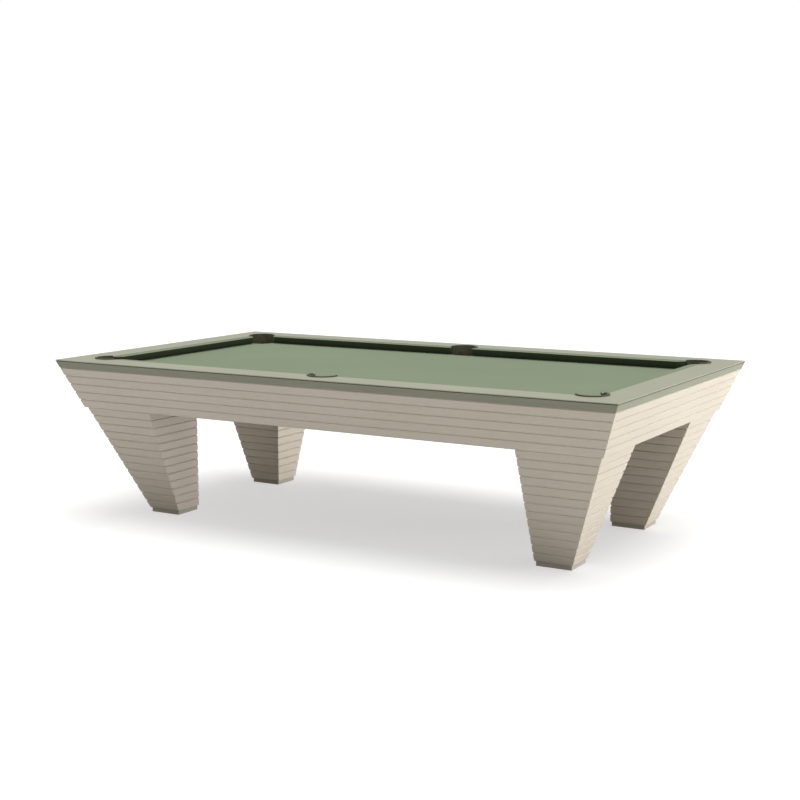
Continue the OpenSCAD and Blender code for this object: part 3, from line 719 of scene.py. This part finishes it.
section = liner_section()
print("liner section:", len(section), "points")


# %% Liners
LINER_STEPS = 72
SOFT_END = 3 * MM       # how much of each end is rounded off
SHRINK = 0.3            # share of its section that the very end loses
CORE_LOW = liner_low + 4 * MM


def liner_end(setback, mouth, facing):
    """Where a facing meets the inner circle of its pocket, along the pocket's middle line. The facing
    starts half a mouth off that line at the noses, and closes in by the facing angle."""
    t = math.tan(facing)
    b = mouth / 2 - setback * t
    return (b * t - math.sqrt((b * t) ** 2 - (1 + t * t) * (b * b - pocket_r ** 2))) / (1 + t * t)


CORNER_SETBACK = CORNER_MOUTH / 2 + (corner_c[0] - nose_x) * math.sqrt(2)
END_AT = {"corner": liner_end(CORNER_SETBACK, CORNER_MOUTH, CORNER_FACING),
          "side": liner_end(side_c - nose_y, SIDE_MOUTH, SIDE_FACING)}


def pocket_place(name):
    """Centre of a pocket and the angle that its middle line points at, away from the bed."""
    centre = basket_middle[name]
    if name.endswith("middle"):
        return centre, math.copysign(math.pi / 2, centre[1])
    return centre, math.atan2(np.sign(centre[1]), np.sign(centre[0]))


def liner_grid(section, end, centre, facing):
    """Rings of the section round the pocket. The angle of a point runs between plus and minus
    arccos(end / radius), so that both ends are flat, and rings near an end shrink. Each end is
    closed by a cap that runs in to an upright line in the middle of the wall."""
    radius, height = np.append(section[:, 0], section[0, 0]), np.append(section[:, 1], section[0, 1])
    limit = np.arccos(end / radius)
    share = np.linspace(-1, 1, LINER_STEPS + 1)
    fine = 1 - np.array([0.0, 0.08, 0.3, 0.65, 1.0]) * SOFT_END / (limit.mean() * pocket_r)
    share = np.unique(np.concatenate([share[np.abs(share) < fine[-1]], fine, -fine]))[:, None]
    left = (1 - np.abs(share)) * limit.mean() * pocket_r / SOFT_END
    shrink = 1 - SHRINK * (1 - np.sqrt(1 - np.clip(1 - left, 0, 1) ** 2))
    wall = (pocket_r + liner_r) / 2
    middle_h = np.clip(height, CORE_LOW, top_z)
    r = wall + (radius - wall) * shrink
    h = middle_h + (height - middle_h) * shrink
    a = facing + share * limit
    ring = together(centre[0] + r * np.cos(a), centre[1] + r * np.sin(a), h)
    caps = []
    for end_ring in (ring[0], ring[-1]):
        middle = end_ring[:, :2].mean(0)
        core = together(middle[0], middle[1], np.clip(end_ring[:, 2], CORE_LOW, top_z + 1 * MM))
        caps.append(end_ring + (core - end_ring) * np.linspace(0, 1, 4)[:, None, None])
    return [ring, *caps]


for name in basket_middle:
    centre, facing = pocket_place(name)
    end = END_AT["side" if name.endswith("middle") else "corner"]
    liner = make_piece("pocket_liner_leather_" + name, liner_grid(section, end, centre, facing),
                       liner_hide, sharp=60)
    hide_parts("pocket_liner_" + name)
print("six liners, each of", len(liner.data.polygons), "faces")

# %% [markdown]
# ## Stitching on the lips
#
# The leather is sewn along the outer side of each lip with thick waxed thread. One stitch is a short
# rod with round ends, half sunk into the leather, and the row is that stitch repeated round the arc.

# %% Stitches
STITCH_L = 3.6 * MM
STITCH_R = 0.45 * MM
STITCH_PITCH = 5.5 * MM
STITCH_AT = lip_r - 3 * MM


def stitch_grids(end, centre, facing):
    """Each stitch is a surface of revolution along the arc: its radius is that of a rod with round
    ends, worked out for every stitch of the row at once."""
    limit = math.acos(end / STITCH_AT) - 4 * MM / STITCH_AT
    count = int(2 * limit * STITCH_AT / STITCH_PITCH)
    middle = np.linspace(-limit, limit, count)
    t = np.linspace(-1, 1, 7)
    thick = STITCH_R * np.sqrt(np.maximum(0, 1 - np.abs(t) ** 5))
    round_it = np.linspace(0, 2 * math.pi, 7)
    a = facing + middle[:, None, None] + (t * STITCH_L / 2 / STITCH_AT)[None, :, None]
    r = STITCH_AT + thick[None, :, None] * np.cos(round_it)
    z = top_z + lip_h - 0.35 * MM + thick[None, :, None] * np.sin(round_it)
    return list(together(centre[0] + r * np.cos(a), centre[1] + r * np.sin(a), z))


for name in basket_middle:
    centre, facing = pocket_place(name)
    end = END_AT["side" if name.endswith("middle") else "corner"]
    row = make_piece("liner_stitching_" + name, stitch_grids(end, centre, facing), thread, sharp=60)
print("stitches of", round(STITCH_L / MM, 1), "mm on every lip")

# %% [markdown]
# ## The baskets
#
# Under each liner hangs a leather cup that holds the balls. Four gores are sewn together with raised
# welts, and the rim is folded over. It is a surface of revolution whose radius swells at the welts, and
# between them the leather sinks in a little.

# %% Baskets
WALL = 3 * MM
GORES = 4
basket_low = low["pocket_basket_back_right"][2]
basket_high = high["pocket_basket_back_right"][2]
basket_r = (high["pocket_basket_back_middle"][0] - low["pocket_basket_back_middle"][0]) / 2


def basket_grid(centre, facing):
    """Rings of a closed profile, outside up and inside down. Welts are narrow cosine ridges at the
    seams, and the leather between them hangs in by up to a millimetre and a half."""
    floor_r = 48 * MM
    bend = 16 * MM
    profile = rounded([
        (0.5 * MM, basket_low + 0.4 * MM, 0.0), (floor_r - 2 * MM, basket_low + 0.6 * MM, bend),
        (basket_r - 0.6 * MM, basket_high - 12 * MM, 8 * MM),
        (basket_r - 0.2 * MM, basket_high, 1.3 * MM), (basket_r - WALL, basket_high, 1.3 * MM),
        (basket_r - WALL - 0.2 * MM, basket_high - 12 * MM, 8 * MM),
        (floor_r - 2 * MM - WALL, basket_low + 0.6 * MM + WALL, bend - WALL),
        (0.5 * MM, basket_low + 0.4 * MM + WALL, 0.0)], steps=8)
    radius, height = profile[:, 0], profile[:, 1]
    angle = np.linspace(0, 2 * math.pi, 97)[:, None]
    seam = np.abs(np.sin(angle * GORES / 2))
    welt = np.exp(-(seam * radius * 2 / GORES / (1.6 * MM)) ** 2) * 0.6 * MM
    up = np.clip((height - basket_low) / (basket_high - basket_low), 0, 1)
    hang = 1.4 * MM * np.sin(np.pi * np.clip(up * 1.1, 0, 1)) * seam ** 2
    r = radius + np.where(radius > 2 * MM, welt - hang, 0)
    r[:, 0] = r[:, -1] = 0
    r = np.minimum(r, basket_r)
    a = facing + angle
    return together(centre[0] + r * np.cos(a), centre[1] + r * np.sin(a), height)


for name in basket_middle:
    centre, facing = pocket_place(name)
    cup = make_piece("pocket_basket_leather_" + name, [basket_grid(centre, facing)], basket_hide,
                     sharp=60)
    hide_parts("pocket_basket_" + name)
print("six baskets, each of", len(cup.data.polygons), "faces")

# %% [markdown]
# ## Bare wood
#
# Out of sight, the table is birch plywood and softwood beams. Rotary-cut birch shows wide soft figures,
# and its edge shows the plies as fine stripes. Softwood has straight growth rings a few millimetres
# apart, dark on one side of each ring.

# %% Birch plywood and pine
PLY = 1.4 * MM
RING = 7 * MM


def birch_plywood(name):
    """Wide figure on the faces, and on faces that look down, stripes one ply wide."""
    material, tree, shader = new_material(name, Roughness=0.62, IOR=1.5)
    coordinates = add(tree, "TexCoord")
    place = coordinates.outputs["Object"]
    figure = noise(tree, squeezed(tree, place, (3.0, 3.0, 14.0)), 2.2, 7.0, Distortion=1.2)
    pores = noise(tree, squeezed(tree, place, (8.0, 8.0, 400.0)), 3.0, 3.0)
    tone = remap(tree, average(tree, 0.35, figure, pores), 0.3, 0.7)
    face = blend(tree, tone, "bd9b69", "d8bb8b")
    gaps = [calc(tree, "SUBTRACT", size, calc(tree, "ABSOLUTE", part(tree, place, axis)))
            for axis, size in (("X", half_l), ("Y", half_w))]
    depth = calc(tree, "MINIMUM", *gaps)
    stripe = calc(tree, "SINE", calc(tree, "MULTIPLY", depth, math.pi / PLY))
    edge = blend(tree, remap(tree, stripe, -0.5, 0.5), "8f6b42", "cda876")
    under = remap(tree, part(tree, coordinates.outputs["Normal"], "Z"), -0.8, -0.6, to=(1.0, 0.0))
    surface(tree, shader, blend(tree, under, face, edge), pores, 0.3, 0.2 * MM)
    return material


def planed_pine(name):
    """Growth rings as a saw wave across the beam, bent by noise, and stretched along x."""
    material, tree, shader = new_material(name, Roughness=0.6, IOR=1.5)
    place = add(tree, "TexCoord").outputs["Object"]
    stretched = squeezed(tree, place, (0.06, 1.0, 1.0), Rotation=(0.3, 0.0, 0.0))
    rings = add(tree, "TexWave", {"Vector": stretched, "Scale": 1 / (RING * 2 * math.pi) * 1.6,
                                  "Distortion": 3.5, "Detail": 3.0, "Detail Scale": 1.4},
                wave_profile="SAW", bands_direction="Z").outputs["Fac"]
    surface(tree, shader, blend(tree, rings, "dfc192", "b98b54"), rings, 0.25, 0.3 * MM)
    return material


birch = birch_plywood("birch plywood, bare")
pine = planed_pine("pine beams, planed")
print("bare woods made")

# %% [markdown]
# ## Slate, rubber and nylon
#
# The slate is sawn and ground flat: a dark blue grey with cloudy patches and the fine lines of the
# grinding. The rubber under the cloth and the nylon of the levelling pads are moulded, one dull
# and one with a fine spark-eroded texture.


# %% Slate, rubber and nylon
def ground_slate(name):
    """Cloudy grey with thin grinding lines along x."""
    material, tree, shader = new_material(name, Roughness=0.65, IOR=1.55)
    place = add(tree, "TexCoord").outputs["Object"]
    tone = remap(tree, noise(tree, place, 9.0, 8.0, Roughness=0.65), 0.3, 0.7)
    ground = noise(tree, squeezed(tree, place, (6.0, 700.0, 700.0)), 1.0, 2.0)
    surface(tree, shader, blend(tree, tone, "40454a", "5d6368"), ground, 0.3, 0.1 * MM)
    return material


def moulded(name, dark, light, grit, roughness):
    """A moulded surface: a fine even grit in the bump, and a tone that hardly drifts."""
    material, tree, shader = new_material(name, Roughness=roughness, IOR=1.5)
    place = add(tree, "TexCoord").outputs["Object"]
    colour = blend(tree, noise(tree, place, 30.0, 3.0), dark, light)
    surface(tree, shader, colour, noise(tree, place, 1 / grit, 2.0), 0.4, 0.1 * MM)
    return material


slate = ground_slate("blue grey slate, ground")
gum_rubber = moulded("black gum rubber, moulded", "1d1d1d", "2a2a2a", 0.8 * MM, 0.8)
nylon = moulded("black nylon, spark textured", "1c1c1d", "292a2b", 0.6 * MM, 0.55)
print("slate, rubber and nylon made")

# %% [markdown]
# ## Zinc-plated steel
#
# The studs and bolts are turned steel with bright zinc. The turning leaves fine rings round each one,
# and the plating a patchy, slightly blue shine.


# %% Zinc-plated steel
def zinc_plate(name):
    """Metal with turning lines across z and a patchy roughness."""
    material, tree, shader = new_material(name, Metallic=1.0, Roughness=0.34)
    place = add(tree, "TexCoord").outputs["Object"]
    turning = noise(tree, squeezed(tree, place, (20.0, 20.0, 1600.0)), 1.0, 2.0)
    patch = noise(tree, place, 90.0, 4.0)
    surface(tree, shader, blend(tree, patch, "9fa5ab", "c3c6c7"), turning, 0.25, 0.05 * MM)
    tree.links.new(remap(tree, patch, to=(0.24, 0.46)), shader.inputs["Roughness"])
    return material


zinc = zinc_plate("bright zinc plated steel")
print("zinc made")

# %% Give the CAD nodes their finish
FINISH = [
    ("rail_bolts", zinc), ("leg_bolts", zinc), ("leveller_stud", zinc), ("leveller_pad", nylon),
    ("rail_front", sage_long), ("rail_back", sage_long), ("rail_left", sage_end),
    ("rail_right", sage_end), ("apron_slats_front", ivory_long), ("apron_slats_back", ivory_long),
    ("apron_slats_left", ivory_end), ("apron_slats_right", ivory_end), ("leg_slats", ivory_leg),
    ("apron_board", birch), ("leg_core", birch), ("frame_", pine), ("slate_", slate),
    ("cushion_rubbers", gum_rubber), ("plinth", grey_plinth),
]
dressed = 0
for name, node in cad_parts.items():
    found = [finish for start, finish in FINISH if name.startswith(start)]
    if found:
        node.data.materials.clear()
        node.data.materials.append(found[0])
        dressed += 1
print(dressed, "nodes given their finish")

# %% [markdown]
# ## Floor and light
#
# The studio is a white sweep, lit so that it burns out to white behind the table. A wide soft lamp
# hangs above, which keeps the shadow under the table light and without an edge, and a low strip of
# light stands far off to the right. So the right end is bright, and the strip reaches in under the
# table to the leg at the far left, while the long side is in soft shade. The sweep gives back only
# half of its light, so its own brightness is what the camera sees, as on a lit background.

# %% Floor and light
FLOOR = 60.0
GLOW = 0.55             # what the sweep adds for the camera alone
SKY_LIGHT = 0.37        # what the room gives to dull surfaces
SKY_SHINE = 0.5         # and to shiny ones
SKY_SEEN = 1.02         # and to the camera, just past white

floor_mesh = bpy.data.meshes.new("floor")
floor_mesh.from_pydata([(-FLOOR, -FLOOR, 0), (FLOOR, -FLOOR, 0), (FLOOR, FLOOR, 0), (-FLOOR, FLOOR, 0)],
                       [], [(0, 1, 2, 3)])
floor = bpy.data.objects.new("floor", floor_mesh)
bpy.context.scene.collection.objects.link(floor)
paper, paper_tree, paper_shader = new_material("white studio sweep", Base_Color=linear("bcbcbc"),
                                               Roughness=0.9, Specular_IOR_Level=0.0,
                                               Emission_Color=(1, 1, 1, 1))
seen = add(paper_tree, "LightPath").outputs["Is Camera Ray"]
paper_tree.links.new(calc(paper_tree, "MULTIPLY", seen, GLOW), paper_shader.inputs["Emission Strength"])
floor_mesh.materials.append(paper)

world = bpy.data.worlds.new("studio")
bpy.context.scene.world = world
world.use_nodes = True
sky = world.node_tree
ray = add(sky, "LightPath")
shine = average(sky, ray.outputs["Is Glossy Ray"], SKY_LIGHT, SKY_SHINE)
strength = average(sky, ray.outputs["Is Camera Ray"], shine, SKY_SEEN)
sky.nodes["Background"].inputs["Color"].default_value = (1, 1, 1, 1)
sky.links.new(strength, sky.nodes["Background"].inputs["Strength"])


def lamp(name, kind, energy, place, turn, **settings):
    """Adds a lamp. turn is its rotation in degrees; a lamp that isn't turned shines straight down."""
    data = bpy.data.lights.new(name, kind)
    data.energy = energy
    for key, value in settings.items():
        setattr(data, key, value)
    obj = bpy.data.objects.new(name, data)
    obj.location = place
    obj.rotation_euler = [math.radians(v) for v in turn]
    bpy.context.scene.collection.objects.link(obj)
    return obj


lamp("soft lamp above", "SUN", 2.85, (0, 0, 5), (-4, 6, 0), angle=math.radians(50))
strip = lamp("low strip at the right", "AREA", 690.0, (9.2, 5.2, 0.48), (0, 90, 29), shape="RECTANGLE",
             size=0.86, size_y=3.8)
strip.visible_camera = False
bpy.context.scene.view_settings.view_transform = "Standard"
print("studio lit")
